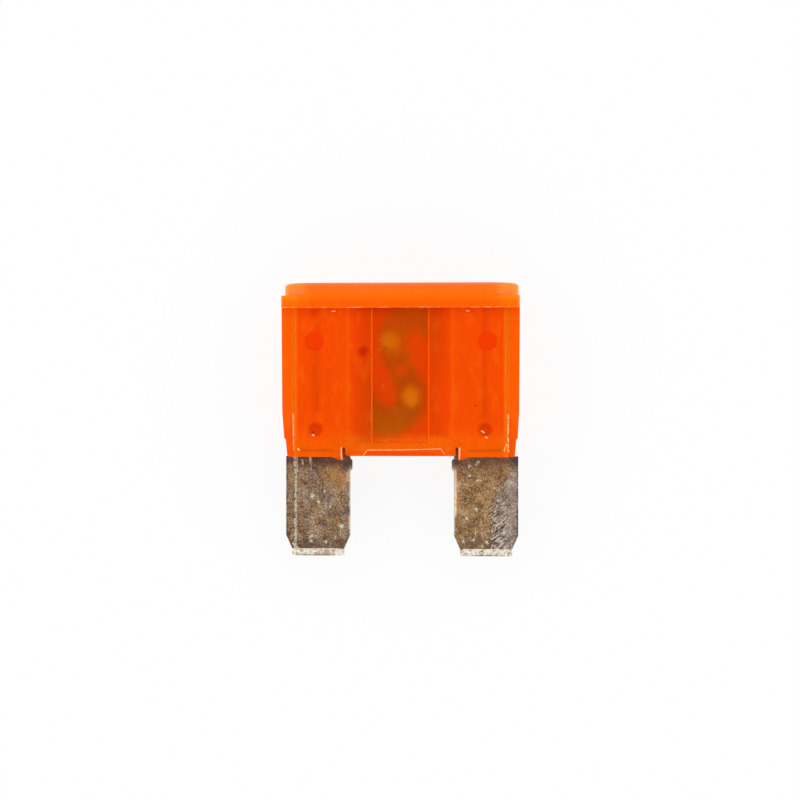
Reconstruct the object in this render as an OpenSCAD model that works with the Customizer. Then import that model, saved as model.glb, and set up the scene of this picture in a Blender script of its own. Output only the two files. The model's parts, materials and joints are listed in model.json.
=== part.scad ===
// Large two-blade fuse: a stamped fuse element held in a clear moulded housing.
// Both pieces are drawn upright, blades down, with the housing's mouth at y = 0 and
// the strip's middle plane at z = 0. laid() then lays the fuse on its back.
// Lengths are in millimetres.

/* [Blades] */
// Thickness of the strip at blades and legs
blade_t = 0.8; // [0.5:0.05:1.2]
// Width of each blade
blade_w = 8.0; // [6:0.1:10]
// Distance between the centres of the two blades
blade_pitch = 21.0; // [18:0.1:26]
// Length of blade that shows below the housing
blade_len = 12.45; // [9:0.05:16]
// Height above the tip at which a blade begins to taper
tip_taper_h = 2.6; // [2:0.05:3.5]
// How far the taper brings in each side of the blade
tip_inset = 0.75; // [0.5:0.05:1]
// Height of the bevel on both faces of the tip, where the taper ends
tip_bevel_h = 0.9; // [0.5:0.05:1.2]
// Corner cut off each side of the tip
tip_corner = 0.14; // [0.05:0.01:0.2]
// Thickness left at the bevelled tip
tip_t = 0.35; // [0.2:0.05:0.45]
// Stub left on the inner edge where the strip's tie bar was cut
nib_w = 0.27; // [0.1:0.01:0.4]
// Height of that stub
nib_h = 1.1; // [0.6:0.05:1.6]

/* [Legs] */
// Width of the shoulder where a blade stops against the housing
shoulder_w = 1.85; // [1.5:0.05:2.3]
// How far the legs stop short of the top of the link
leg_drop = 0.8; // [0.4:0.05:1.5]
// Radius of the plastic peg that pins each leg
stake_r = 1.15; // [0.9:0.05:1.4]
// Free space between a peg and its hole in the leg
stake_clear = 0.03; // [0.01:0.01:0.1]
// Gap between the two halves of a peg, which meet inside the hole
stake_gap = 0.1; // [0.05:0.01:0.2]
// Distance of the peg's centre from the leg's outer edge
stake_from_edge = 1.95; // [1.7:0.05:2.4]
// Height of the pegs above the housing's mouth
stake_y = 14.4; // [11:0.1:15.5]

/* [Link] */
// Depth of the thin strip's root in a leg, and of a peg's in its wall
root = 0.2; // [0.1:0.05:0.3]
// Thickness of the thinned strip between the legs
link_t = 0.4; // [0.3:0.05:0.6]
// Height of the link's centre above the housing's mouth
link_y = 10.8; // [9.5:0.1:13]
// Sideways distance of each bend's centre from the link's centre
bend_x = 1.74; // [1.4:0.01:2.1]
// Upward distance of each bend's centre from the link's centre
bend_y = 3.5; // [2.9:0.05:4.2]
// Outer radius of each bend
bend_r = 4.75; // [4:0.05:5.7]
// Radius of the round end of each gap in the S
gap_r = 1.1; // [0.9:0.05:1.35]
// Half the width of the neck at the link's centre
neck_half_w = 1.65; // [1.35:0.05:2]
// Radius of the hole in the middle of the neck
neck_hole_r = 0.65; // [0.5:0.05:0.8]
// Radius of the long curve on the upper edge of each arm
arm_curve_r = 15; // [12:0.5:18]
// Height above the link's centre at which an arm's upper edge meets its leg
arm_high = 2.4; // [2:0.1:2.9]
// Depth below the link's centre at which an arm's lower edge meets its leg
arm_low = 7.5; // [6.2:0.1:8.2]
// Radius of the two round bosses pressed in the link
boss_r = 1.3; // [1:0.05:1.55]
// Height of those bosses
boss_h = 0.45; // [0.3:0.05:0.6]

/* [Housing] */
// Solid plastic outside each leg
side_wall = 1.94; // [1.6:0.01:2.3]
// Wall over the window, where the link shows
window_wall = 1.0; // [0.8:0.05:1.3]
// Free depth from face to face behind the window
cavity_t = 5.8; // [4.8:0.1:7]
// Half the width of the flat window
window_half_w = 3.47; // [2.9:0.01:4.15]
// Depth of the window panel below the faces around it
window_sink = 0.1; // [0.05:0.01:0.2]
// Solid plastic above the link's space
top_wall = 1.9; // [1.6:0.1:2.4]
// Free space above the link
link_headroom = 0.5; // [0.3:0.05:0.8]
// Free space between the strip and the sides of its slots
slot_clear = 0.05; // [0.02:0.01:0.1]
// Free space at the ends of the slots
slot_end_clear = 0.1; // [0.05:0.01:0.2]
// Height of the wide mouth below the window
mouth_h = 1.75; // [1.45:0.05:2.1]
// Height of the lead-in at the mouth
lead_in_h = 0.62; // [0.5:0.01:0.8]
// Extra depth of the lead-in on each side
lead_in_d = 0.4; // [0.3:0.05:0.6]
// Half the width of the lead-in under the window
lead_in_half_w = 4.8; // [4:0.1:5.6]

/* [Flange and crown] */
// How far the flange stands out from the front and back of the body
flange_lip = 0.55; // [0.4:0.05:0.8]
// Height of the flange
flange_h = 1.5; // [1.2:0.05:1.8]
// Corner radius of the flange seen from above
flange_corner_r = 0.45; // [0.3:0.05:0.6]
// Height of the crown above the flange
crown_h = 1.6; // [1.3:0.05:2]
// How far each end of the crown stands back from the flange
crown_inset = 0.1; // [0.05:0.01:0.3]
// Corner radius of the crown seen from above
crown_corner_r = 3.7; // [3:0.1:4.2]
// Rounding of the crown's upper edge
crown_edge_r = 0.45; // [0.3:0.05:0.6]

/* [Body sides] */
// Width of the raised front panel outside each leg
panel_margin = 0.35; // [0.25:0.05:0.5]
// Width of the sloping step at the edge of the front panel
panel_step_w = 0.25; // [0.15:0.05:0.35]
// How far the panel's faces sink towards the window, as a moulded wall does
panel_sink = 0.05; // [0.02:0.01:0.1]
// Depth of the side rails below the front panel
rail_drop = 0.25; // [0.15:0.05:0.4]
// Height at which the rails begin to taper towards the mouth
rail_taper_h = 5.5; // [4.6:0.1:6.5]
// Depth that the rails have lost at the mouth
rail_taper_d = 0.95; // [0.8:0.05:1.15]
// Width that the side has lost by draft where the taper begins
side_draft = 0.09; // [0.05:0.01:0.2]
// Width lost between there and the step near the mouth
side_lead_w = 0.18; // [0.1:0.01:0.3]
// Height of the step near the mouth
side_step_h = 2.1; // [1.7:0.05:2.5]
// Width of that step
side_step_w = 0.19; // [0.15:0.01:0.3]
// Width lost between the step and the mouth's corner
side_foot = 0.13; // [0.05:0.01:0.2]
// Corner cut off each side of the mouth
mouth_corner = 0.18; // [0.1:0.01:0.25]

/* [Clamping] */
// Width of the slit beside each leg
slit_w = 0.35; // [0.25:0.05:0.5]
// Height of the slit
slit_h = 1.15; // [0.9:0.05:1.4]
// Distance from the leg's inner edge to the middle of the slit
slit_x = 0.45; // [0.35:0.01:0.55]
// How much higher the mouth lies between the slits
centre_rise = 0.12; // [0.05:0.01:0.2]
// Drop of the small lip pressed down beside each slit
lip_drop = 0.35; // [0.2:0.01:0.45]
// Width of that lip
lip_w = 1.45; // [1.1:0.05:1.9]
// Width of the lip's lowest part, beside the slit
lip_flat = 0.45; // [0.3:0.05:0.6]
// Width of the relief groove along the middle of each leg slot
groove_w = 1.1; // [0.9:0.05:1.35]
// Depth of the relief groove
groove_d = 0.3; // [0.2:0.05:0.4]
// Height at which the relief groove begins
groove_y = 4.9; // [4:0.1:5.9]
// Radius of the punched clamp marks on front and back
punch_r = 0.8; // [0.6:0.05:1]
// Depth of the clamp marks
punch_d = 0.3; // [0.2:0.05:0.4]
// Height of the clamp marks above the mouth
punch_y = 3.4; // [2.8:0.1:4]
// Distance of the groove and the clamp marks from the leg's outer edge
groove_from_edge = 2.2; // [1.8:0.05:2.6]
// Radius of the moulding gate's mark on the back
gate_r = 0.6; // [0.45:0.05:0.75]
// Depth of the gate's mark
gate_d = 0.25; // [0.15:0.05:0.35]
// Distance of the gate's mark to the left of the middle
gate_x = 5.0; // [4:0.1:6]
// Height of the gate's mark above the mouth
gate_y = 13.1; // [11:0.1:15]

/* [Hidden] */
$fn = 64;
neck_steps = 12;

// Strip
leg_in = blade_pitch / 2 - blade_w / 2;
blade_out = leg_in + blade_w;
leg_out = blade_out - shoulder_w;
stake_x = leg_out - stake_from_edge;
groove_x = leg_out - groove_from_edge;
link_half_h = bend_y + bend_r;
link_top = link_y + link_half_h;
leg_top = link_top - leg_drop;
boss_x = (bend_r + gap_r) / 2 - bend_x;

// Housing
slot_half_t = blade_t / 2 + slot_clear;
slot_in = leg_in - slot_end_clear;
slot_out = leg_out + slot_end_clear;
slot_top = leg_top + slot_end_clear;
cavity_top = link_top + link_headroom;
housing_h = cavity_top + top_wall;
body_h = housing_h - crown_h - flange_h;
body_t = cavity_t + 2 * window_wall;
flange_t = body_t + 2 * flange_lip;
half_w = slot_out + side_wall;
panel_half_w = slot_out + panel_margin;
slit_mid = leg_in + slit_x;

// Rest on the back: on the flange's lower edge and on the edge at the mouth
rest_tilt = atan2(flange_lip, body_h);
rest_z = flange_t / 2 * cos(rest_tilt) - body_h * sin(rest_tilt);
crown_reach = (housing_h - crown_edge_r) * cos(rest_tilt)
    + (flange_t / 2 - crown_edge_r) * sin(rest_tilt) + crown_edge_r;
blade_reach = blade_len * cos(rest_tilt) + tip_t / 2 * sin(rest_tilt);
rest_y = (blade_reach - crown_reach) / 2;

module laid() {
    translate([0, rest_y, rest_z]) rotate([rest_tilt, 0, 0]) children();
}

// Both sides of the fuse, mirrored left to right
module both_sides() {
    children();
    mirror([1, 0, 0]) children();
}

// Front and back of the fuse, mirrored
module both_faces() {
    children();
    mirror([0, 0, 1]) children();
}

// Flat shape in the plan view, drawn up the fuse's height
module stand(h) {
    rotate([-90, 0, 0]) linear_extrude(h) children();
}

// Flat shape in height and depth, drawn across the fuse's width
module across(w) {
    rotate([90, 0, 90]) linear_extrude(w, center = true) children();
}

// Flat shape in the front view, drawn through the fuse's depth
module through(t) {
    linear_extrude(t, center = true) children();
}

// Block centred in width and depth, from one height to another
module block(w, y0, y1, t) {
    translate([-w / 2, y0, -t / 2]) cube([w, y1 - y0, t]);
}

// One side's outline, closed by its mirror image
function mirrored(points) = concat(points, [
    for (i = [len(points) - 1 : -1 : 0]) [-points[i].x, points[i].y]
]);

// Points of an arc, both ends included
function arc(centre, r, from, to, steps = 24) = [
    for (i = [0 : steps]) let (a = from + (to - from) * i / steps)
        centre + r * [cos(a), sin(a)]
];

// Housing: crown and flange

module crown_profile(reach) {
    difference() {
        square([reach, crown_h]);
        translate([reach - crown_edge_r, crown_h - crown_edge_r]) difference() {
            square(2 * crown_edge_r);
            circle(crown_edge_r);
        }
    }
}

module crown_section(reach) {
    crown_profile(reach);
    mirror([1, 0]) crown_profile(reach);
}

// Rounded at its four corners and along its whole upper edge
module crown() {
    straight_x = half_w - crown_inset - crown_corner_r;
    straight_z = flange_t / 2 - crown_corner_r;
    translate([0, body_h + flange_h, 0]) rotate([-90, 0, 0]) {
        rotate([90, 0, 90]) linear_extrude(2 * straight_x, center = true)
            crown_section(straight_z + crown_corner_r);
        rotate([90, 0, 0]) linear_extrude(2 * straight_z, center = true)
            crown_section(straight_x + crown_corner_r);
        for (sx = [0, 1], sy = [0, 1]) mirror([sx, 0, 0]) mirror([0, sy, 0])
            translate([straight_x, straight_z, 0])
                rotate_extrude(angle = 90) crown_profile(crown_corner_r);
    }
}

module flange() {
    x = half_w - flange_corner_r;
    z = flange_t / 2 - flange_corner_r;
    translate([0, body_h, 0]) stand(flange_h) {
        square([2 * x, flange_t], center = true);
        square([2 * half_w, 2 * z], center = true);
        for (sx = [-1, 1], sz = [-1, 1]) translate([sx * x, sz * z])
            circle(flange_corner_r);
    }
}

// Housing: body

// Front view, narrowing towards the mouth with a step in each side
module body_outline() {
    step_x = half_w - side_draft - side_lead_w;
    foot_x = step_x - side_step_w - side_foot;
    polygon(mirrored([
        [half_w, body_h],
        [half_w - side_draft, rail_taper_h],
        [step_x, side_step_h + side_step_w],
        [step_x - side_step_w, side_step_h],
        [foot_x, mouth_corner],
        [foot_x - mouth_corner, 0],
    ]));
}

// Plan view of the raised front and back panels, with sloping steps at their sides
module panel_section() {
    middle_z = body_t / 2 - panel_sink;
    step_x = panel_half_w + panel_step_w;
    step_z = body_t / 2 - rail_drop - rail_taper_d;
    polygon(mirrored([
        [window_half_w, middle_z],
        [panel_half_w, body_t / 2],
        [step_x, step_z],
        [step_x, -step_z],
        [panel_half_w, -body_t / 2],
        [window_half_w, -middle_z],
    ]));
}

// Depth of the side rails, tapered towards the mouth
module rail_section() {
    rail_z = body_t / 2 - rail_drop;
    polygon([
        [0, rail_z - rail_taper_d],
        [rail_taper_h, rail_z],
        [body_h, rail_z],
        [body_h, -rail_z],
        [rail_taper_h, -rail_z],
        [0, -rail_z + rail_taper_d],
    ]);
}

module body() {
    intersection() {
        through(2 * body_t) body_outline();
        union() {
            stand(body_h) panel_section();
            across(2 * half_w) rail_section();
        }
    }
}

// Lip beside each slit, where the wall was pressed down over the leg
module lip() {
    x = slit_mid + slit_w / 2;
    z0 = slot_half_t + lead_in_d;
    z1 = body_t / 2 - rail_drop;
    translate([0, 0, z0]) linear_extrude(z1 - z0)
        polygon([
            [x, lip_drop],
            [x, -lip_drop],
            [x + lip_flat, -lip_drop],
            [x + lip_w, 0],
            [x + lip_w, lip_drop],
        ]);
}

// Housing: spaces inside

// Space for the link: deep behind the window, narrowing to the legs at both sides
module link_space() {
    cavity_z = cavity_t / 2;
    translate([0, -mouth_h, 0]) stand(cavity_top + mouth_h) polygon(mirrored([
        [window_half_w, cavity_z],
        [slot_in, slot_half_t],
        [slot_in, -slot_half_t],
        [window_half_w, -cavity_z],
    ]));
    block(2 * slot_in, -mouth_h, mouth_h, cavity_t);
    through(cavity_t + 2 * lead_in_d) polygon(mirrored([
        [lead_in_half_w + lead_in_h, -lead_in_h],
        [lead_in_half_w, lead_in_h],
    ]));
}

// Slot for one leg, with its lead-in and the relief groove along its middle
module leg_slot() {
    w = slot_out - slot_in;
    translate([(slot_in + slot_out) / 2, 0, 0]) {
        block(w, -lead_in_h, slot_top, 2 * slot_half_t);
        across(w) polygon([
            [-lead_in_h, slot_half_t + 2 * lead_in_d],
            [lead_in_h, slot_half_t],
            [lead_in_h, -slot_half_t],
            [-lead_in_h, -slot_half_t - 2 * lead_in_d],
        ]);
    }
    translate([groove_x, 0, 0])
        block(groove_w, groove_y, slot_top, 2 * (slot_half_t + groove_d));
}

// Half of the peg that fills the hole in one leg
module stake() {
    z0 = stake_gap / 2;
    translate([stake_x, stake_y, z0])
        cylinder(r = stake_r, h = slot_half_t + groove_d + root - z0);
}

module slit() {
    translate([slit_mid, 0, 0]) block(slit_w, -slit_h, slit_h, 2 * body_t);
}

// Housing: marks on the faces

module punch_mark() {
    ball_r = (punch_r * punch_r + punch_d * punch_d) / (2 * punch_d);
    translate([groove_x, punch_y, body_t / 2 - punch_d + ball_r]) sphere(ball_r);
}

module gate_mark() {
    translate([-gate_x, gate_y, -body_t / 2])
        cylinder(r = gate_r, h = 2 * gate_d, center = true);
}

module window_panel() {
    translate([0, 0, body_t / 2])
        block(2 * window_half_w, mouth_h, body_h, 2 * (panel_sink + window_sink));
}

module housing() color([1, 0.42, 0.04]) laid() {
    difference() {
        union() {
            crown();
            flange();
            body();
            both_sides() both_faces() lip();
        }
        link_space();
        both_sides() leg_slot();
        both_sides() slit();
        block(2 * slit_mid, -slit_h, centre_rise, 2 * body_t);
        both_faces() window_panel();
        both_sides() both_faces() punch_mark();
        gate_mark();
    }
    both_sides() both_faces() stake();
}

// Fuse element

// Front view of one leg and its blade
module limb_outline() {
    tip_y = -blade_len;
    polygon([
        [leg_in, leg_top],
        [leg_in, -nib_w],
        [leg_in - nib_w, -2 * nib_w],
        [leg_in - nib_w, -2 * nib_w - nib_h],
        [leg_in, -3 * nib_w - nib_h],
        [leg_in, tip_y + tip_taper_h],
        [leg_in + tip_inset, tip_y + tip_bevel_h],
        [leg_in + tip_inset, tip_y + tip_corner],
        [leg_in + tip_inset + tip_corner, tip_y],
        [blade_out - tip_inset - tip_corner, tip_y],
        [blade_out - tip_inset, tip_y + tip_corner],
        [blade_out - tip_inset, tip_y + tip_bevel_h],
        [blade_out, tip_y + tip_taper_h],
        [blade_out, 0],
        [leg_out, 0],
        [leg_out, leg_top],
    ]);
}

// Depth of a limb, bevelled on both faces at the blade's tip
module limb_section() {
    bevel_y = tip_bevel_h - blade_len;
    polygon([
        [-blade_len, tip_t / 2],
        [bevel_y, blade_t / 2],
        [leg_top, blade_t / 2],
        [leg_top, -blade_t / 2],
        [bevel_y, -blade_t / 2],
        [-blade_len, -tip_t / 2],
    ]);
}

module limb() {
    difference() {
        intersection() {
            through(2 * blade_t) limb_outline();
            across(2 * blade_out + blade_w) limb_section();
        }
        translate([stake_x, stake_y, 0])
            cylinder(r = stake_r + stake_clear, h = 2 * blade_t, center = true);
    }
}

// Edge of the S from the left leg down to the gap's round end and up the neck
function gap_edge() = let (
    bend = [-bend_x, -bend_y],
    start = [-leg_in - root, arm_high],
    to_start = start - bend,
    d = norm(to_start),
    reach = arm_curve_r - gap_r,
    turn = acos((reach * reach + d * d - arm_curve_r * arm_curve_r) / (2 * reach * d)),
    dir = atan2(to_start.y, to_start.x) - turn,
    centre = bend + reach * [cos(dir), sin(dir)],
    from = 360 + atan2(start.y - centre.y, start.x - centre.x)
) concat(
    arc(centre, arm_curve_r, from, 180 + dir),
    arc(bend, gap_r, 180 + dir, 360),
    [for (i = [1 : neck_steps]) let (s = i / neck_steps)
        [-neck_half_w + (neck_half_w - bend_x + gap_r) * sin(90 * (1 - s)),
            -bend_y * (1 - s)]]
);

// Edge of the S from the middle of the neck down round the outside of the lower bend
function bend_edge() = let (
    bend = [-bend_x, -bend_y],
    foot = [-leg_in - root, -arm_low],
    to_foot = foot - bend,
    leave = atan2(to_foot.y, to_foot.x) + acos(bend_r / norm(to_foot))
) concat(
    [for (i = [1 : neck_steps - 1]) let (s = i / neck_steps)
        [neck_half_w + (bend_r - bend_x - neck_half_w) * sin(90 * s), -bend_y * s]],
    arc(bend, bend_r, 0, leave),
    [foot]
);

function turned(points) = [for (p = points) -p];

module link_outline() {
    half = concat(gap_edge(), turned(bend_edge()));
    polygon(concat(half, turned(half)));
}

// Boss pressed into the thin strip: a dome in front, the same dome hollow behind
module at_bosses() {
    for (side = [0, 180]) rotate(side) translate([-boss_x, bend_y, 0]) children();
}

module boss_ball(z) {
    ball_r = (boss_r * boss_r + boss_h * boss_h) / (2 * boss_h);
    translate([0, 0, z + boss_h - ball_r]) sphere(ball_r);
}

module link() {
    translate([0, link_y, 0]) difference() {
        union() {
            through(link_t) link_outline();
            at_bosses() intersection() {
                boss_ball(link_t / 2);
                cylinder(r = boss_r, h = link_t + boss_h);
            }
        }
        at_bosses() boss_ball(-link_t / 2);
        cylinder(r = neck_hole_r, h = 2 * blade_t, center = true);
    }
}

module fuse_element() color([0.62, 0.52, 0.40]) laid() {
    both_sides() limb();
    link();
}

housing();
fuse_element();
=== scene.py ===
import json
import math
from types import SimpleNamespace

import bpy
from mathutils import Matrix, Vector

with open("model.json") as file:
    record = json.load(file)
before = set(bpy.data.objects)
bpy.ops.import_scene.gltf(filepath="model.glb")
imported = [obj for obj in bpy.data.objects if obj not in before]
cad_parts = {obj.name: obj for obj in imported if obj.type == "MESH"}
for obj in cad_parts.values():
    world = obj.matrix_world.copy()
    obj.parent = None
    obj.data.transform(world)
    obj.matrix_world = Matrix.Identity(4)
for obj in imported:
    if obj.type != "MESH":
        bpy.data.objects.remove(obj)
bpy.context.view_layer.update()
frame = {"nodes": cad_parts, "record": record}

MM = 0.001

# Lengths of the fuse that the finish follows, in millimetres. They are measured in the
# fuse's own frame: x across, y up from the housing's mouth, z out through the front.
BLADE_LENGTH = 12.45
LEG_INNER = 6.5
WINDOW_HALF_WIDTH = 3.47
WINDOW_BOTTOM = 1.6
PANEL_HALF_WIDTH = 13.1
FLANGE_BOTTOM = 18.35
CROWN_BOTTOM = 19.85
CROWN_ROUNDING = 21.3
# Distance from the middle plane where the housing's inner walls end and its faces begin
OUTER_SKIN = (3.2, 3.3)

# The photograph: its size, its scale at the strip, and how the camera stood to the fuse.
# Lengths are in millimetres, only the range that the camera sees is in metres.
PHOTO_PX = 800
PX_PER_MM = 8.0
SENSOR_WIDTH = 36
CAMERA_DISTANCE = 230
CAMERA_YAW = math.radians(3.4)
AIM = (-0.25, 7.015, 0)
CAMERA_RANGE_M = (0.01, 5)

# The studio: strength of the world's light all round and straight above, and the
# direction heights between which it falls from one to the other
SKY_STRENGTH = 1.68
ZENITH_STRENGTH = 0.02
SKY_FADE = (0.68, 0.93)
FLOOR_HALF_WIDTH_M = 2.0
FLOOR_COLOUR = (0.9, 0.9, 0.9)
# Share of plain white in the floor as it is seen, the rest keeps the shadow
FLOOR_WHITE = 0.9


def fuse_frame():
    """The fuse's own frame, found from the record's mounts."""
    mounts = {mount["name"]: mount for mount in frame["record"]["mounts"]}
    right = Vector((1, 0, 0))
    up = Vector(mounts["crown_face"]["axis"]).normalized()
    front = right.cross(up)
    tip = Vector(mounts["left_blade"]["pos_m"])
    mouth = Vector((0, tip.y, tip.z)) + up * BLADE_LENGTH * MM
    return Matrix.Translation(mouth) @ Matrix((right, up, front)).transposed().to_4x4()


FUSE = fuse_frame()
FRONT = tuple(FUSE.to_3x3() @ Vector((0, 0, 1)))


# Node graphs

class Graph:
    """One material's or world's nodes, with short names for the common ones."""

    def __init__(self, tree):
        self.tree = tree
        tree.nodes.clear()

    def node(self, kind, **settings):
        node = self.tree.nodes.new("ShaderNode" + kind)
        for name, value in settings.items():
            setattr(node, name, value)
        return node

    def put(self, value, socket):
        if isinstance(value, bpy.types.NodeSocket):
            self.tree.links.new(value, socket)
        else:
            socket.default_value = value

    def math(self, operation, a, b=0.0, clamp=False):
        node = self.node("Math", operation=operation, use_clamp=clamp)
        self.put(a, node.inputs[0])
        self.put(b, node.inputs[1])
        return node.outputs[0]

    def add(self, *values):
        total = values[0]
        for value in values[1:]:
            total = self.math("ADD", total, value)
        return total

    def times(self, *values):
        product = values[0]
        for value in values[1:]:
            product = self.math("MULTIPLY", product, value)
        return product

    def less(self, a, b):
        return self.math("SUBTRACT", a, b)

    def absolute(self, value):
        return self.math("ABSOLUTE", value)

    def either(self, *values):
        result = values[0]
        for value in values[1:]:
            result = self.math("MAXIMUM", result, value)
        return result

    def rise(self, value, start, end, low=0.0, high=1.0):
        """Smooth change from low to high while value goes from start to end."""
        node = self.node("MapRange", interpolation_type="SMOOTHSTEP")
        for socket, number in zip(node.inputs[:5], (value, start, end, low, high)):
            self.put(number, socket)
        return node.outputs[0]

    def band(self, value, start, end, soft):
        """1 between start and end, with soft edges."""
        opening = self.rise(value, start - soft, start + soft)
        closing = self.rise(value, end - soft, end + soft, 1.0, 0.0)
        return self.times(opening, closing)

    def sway(self, pattern, amount):
        """A noise pattern turned into a shift of up to half the amount each way."""
        return self.times(self.less(pattern, 0.5), amount)

    def ramp(self, value, stops):
        """Colour that follows value through (place, colour) stops."""
        node = self.node("ValToRGB")
        elements = node.color_ramp.elements
        while len(elements) < len(stops):
            elements.new(0.5)
        for element, (position, colour) in zip(elements, stops):
            element.position = position
            element.color = (*colour, 1)
        self.put(value, node.inputs[0])
        return node.outputs[0]

    def mix(self, share, a, b):
        """Colours or directions mixed."""
        node = self.node("Mix", data_type="RGBA")
        self.put(share, node.inputs[0])
        for socket, value in ((node.inputs[6], a), (node.inputs[7], b)):
            self.put((*value, 1) if isinstance(value, tuple) else value, socket)
        return node.outputs[2]

    def blend(self, share, a, b):
        """Two shaders mixed."""
        node = self.node("MixShader")
        self.put(share, node.inputs[0])
        self.put(a, node.inputs[1])
        self.put(b, node.inputs[2])
        return node.outputs[0]

    def stretch(self, vector, scale):
        node = self.node("VectorMath", operation="MULTIPLY")
        self.put(vector, node.inputs[0])
        node.inputs[1].default_value = scale
        return node.outputs[0]

    def noise(self, vector, scale, detail, roughness):
        node = self.node("TexNoise")
        self.put(vector, node.inputs["Vector"])
        node.inputs["Scale"].default_value = scale
        node.inputs["Detail"].default_value = detail
        node.inputs["Roughness"].default_value = roughness
        return node.outputs["Fac"]

    def dots(self, vector, scale, radius, soft):
        """Scattered round spots."""
        node = self.node("TexVoronoi")
        self.put(vector, node.inputs["Vector"])
        node.inputs["Scale"].default_value = scale
        return self.rise(node.outputs["Distance"], radius - soft, radius + soft, 1.0, 0.0)

    def distance(self, a, b):
        node = self.node("VectorMath", operation="DISTANCE")
        self.put(a, node.inputs[0])
        self.put(b, node.inputs[1])
        return node.outputs["Value"]

    def disc(self, flat, centre, radius, soft):
        """Round spot on the front view."""
        away = self.distance(flat, (*centre, 0))
        return self.rise(away, radius - soft, radius + soft, 1.0, 0.0)

    def discs(self, flat, centres, radius, soft):
        """Round spots of one size on the front view."""
        return self.either(*[self.disc(flat, centre, radius, soft) for centre in centres])

    def spots(self, flat, spots, soft):
        """Round spots on the front view, each a centre and a radius."""
        return self.either(*[self.disc(flat, *spot, soft) for spot in spots])

    def stroke(self, flat, start, end, half_width, soft):
        """Straight mark on the front view, with round ends."""
        run = Vector((*end, 0)) - Vector((*start, 0))
        from_start = self.node("VectorMath", operation="SUBTRACT")
        self.put(flat, from_start.inputs[0])
        from_start.inputs[1].default_value = (*start, 0)
        along = self.node("VectorMath", operation="DOT_PRODUCT")
        self.put(from_start.outputs[0], along.inputs[0])
        along.inputs[1].default_value = run / run.length_squared
        share = self.math("ADD", along.outputs["Value"], 0.0, True)
        nearest = self.node("VectorMath", operation="SCALE")
        nearest.inputs[0].default_value = run
        self.put(share, nearest.inputs["Scale"])
        away = self.distance(from_start.outputs[0], nearest.outputs[0])
        return self.rise(away, half_width - soft, half_width + soft, 1.0, 0.0)

    def strokes(self, flat, marks, soft):
        """Straight marks on the front view, each a start, an end and a half width."""
        return self.either(*[self.stroke(flat, *mark, soft) for mark in marks])

    def turn(self, vector, angle, scale):
        """The vector turned in the front view and scaled, for slanted patterns."""
        node = self.node("Mapping", vector_type="TEXTURE")
        self.put(vector, node.inputs["Vector"])
        node.inputs["Rotation"].default_value = (0, 0, angle)
        node.inputs["Scale"].default_value = tuple(1 / s for s in scale)
        return node.outputs[0]

    def point(self, x, y):
        """A point of the front view."""
        node = self.node("CombineXYZ")
        self.put(x, node.inputs[0])
        self.put(y, node.inputs[1])
        return node.outputs[0]

    def bump(self, height, strength, distance):
        node = self.node("Bump")
        node.inputs["Strength"].default_value = strength
        node.inputs["Distance"].default_value = distance
        self.put(height, node.inputs["Height"])
        return node.outputs["Normal"]


class FuseGraph(Graph):
    """A material of the fuse, with the place on the fuse in millimetres."""

    def __init__(self, tree):
        super().__init__(tree)
        to_fuse = FUSE.inverted()
        mapping = self.node("Mapping")
        self.put(self.node("TexCoord").outputs["Object"], mapping.inputs["Vector"])
        mapping.inputs["Location"].default_value = to_fuse.translation / MM
        mapping.inputs["Rotation"].default_value = to_fuse.to_euler()
        mapping.inputs["Scale"].default_value = (1 / MM,) * 3
        split = self.node("SeparateXYZ")
        self.put(mapping.outputs[0], split.inputs[0])
        self.spot = mapping.outputs[0]
        self.x, self.y, self.z = split.outputs
        self.flat = self.stretch(self.spot, (1, 1, 0))
        self.side = self.absolute(self.x)

    def patterns(self, table):
        """Noise patterns by name, each from its stretch, scale, detail and roughness.

        Their values vary about 0.5, so a threshold on one sets how much it covers.
        """
        return SimpleNamespace(**{
            name: self.noise(self.stretch(self.spot, stretch), *settings)
            for name, (stretch, *settings) in table.items()})


class Paint:
    """A colour laid on in layers, and the share of the light that the surface scatters."""

    def __init__(self, graph, colour, haze=1.0):
        self.graph = graph
        self.colour = colour
        self.haze = haze

    def over(self, colour, *shares):
        """Lays a colour over the others, as thick as the product of the shares."""
        self.colour = self.graph.mix(self.graph.times(*shares), self.colour, colour)

    def thicken(self, *shares):
        """Makes the surface scatter at least the product of the shares."""
        self.haze = self.graph.either(self.haze, self.graph.times(*shares))


def new_material(name, kind):
    material = bpy.data.materials.new(name)
    material.use_nodes = True
    graph = kind(material.node_tree)
    return material, graph, graph.node("OutputMaterial")


# Clear orange plastic

# Noise patterns: stretch along x, y and z, then scale, detail and roughness
PLASTIC_PATTERNS = {
    "cloud": ((0.55, 0.16, 0.5), 1.0, 3.0, 0.5),
    "streak": ((3.0, 0.12, 1.0), 1.0, 2.0, 0.5),
    "mottle": ((1.0, 1.0, 1.0), 4.5, 3.0, 0.5),
    "wisps": ((1.0, 0.4, 1.0), 0.8, 4.0, 0.6),
    "wear": ((0.9, 0.3, 0.3), 1.0, 3.0, 0.5),
    "scratch": ((6.0, 0.5, 1.0), 1.0, 4.0, 0.5),
}

# Share of the light that the dye scatters in each region. The flank's grows from the
# window to the leg.
WINDOW_HAZE = 0.24
FLANK_HAZE = (0.50, 0.86)
FOOT_HAZE = 0.85
BACK_HAZE = 0.86
RAIL_HAZE = 0.95
HEAD_HAZE = 0.97

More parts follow.
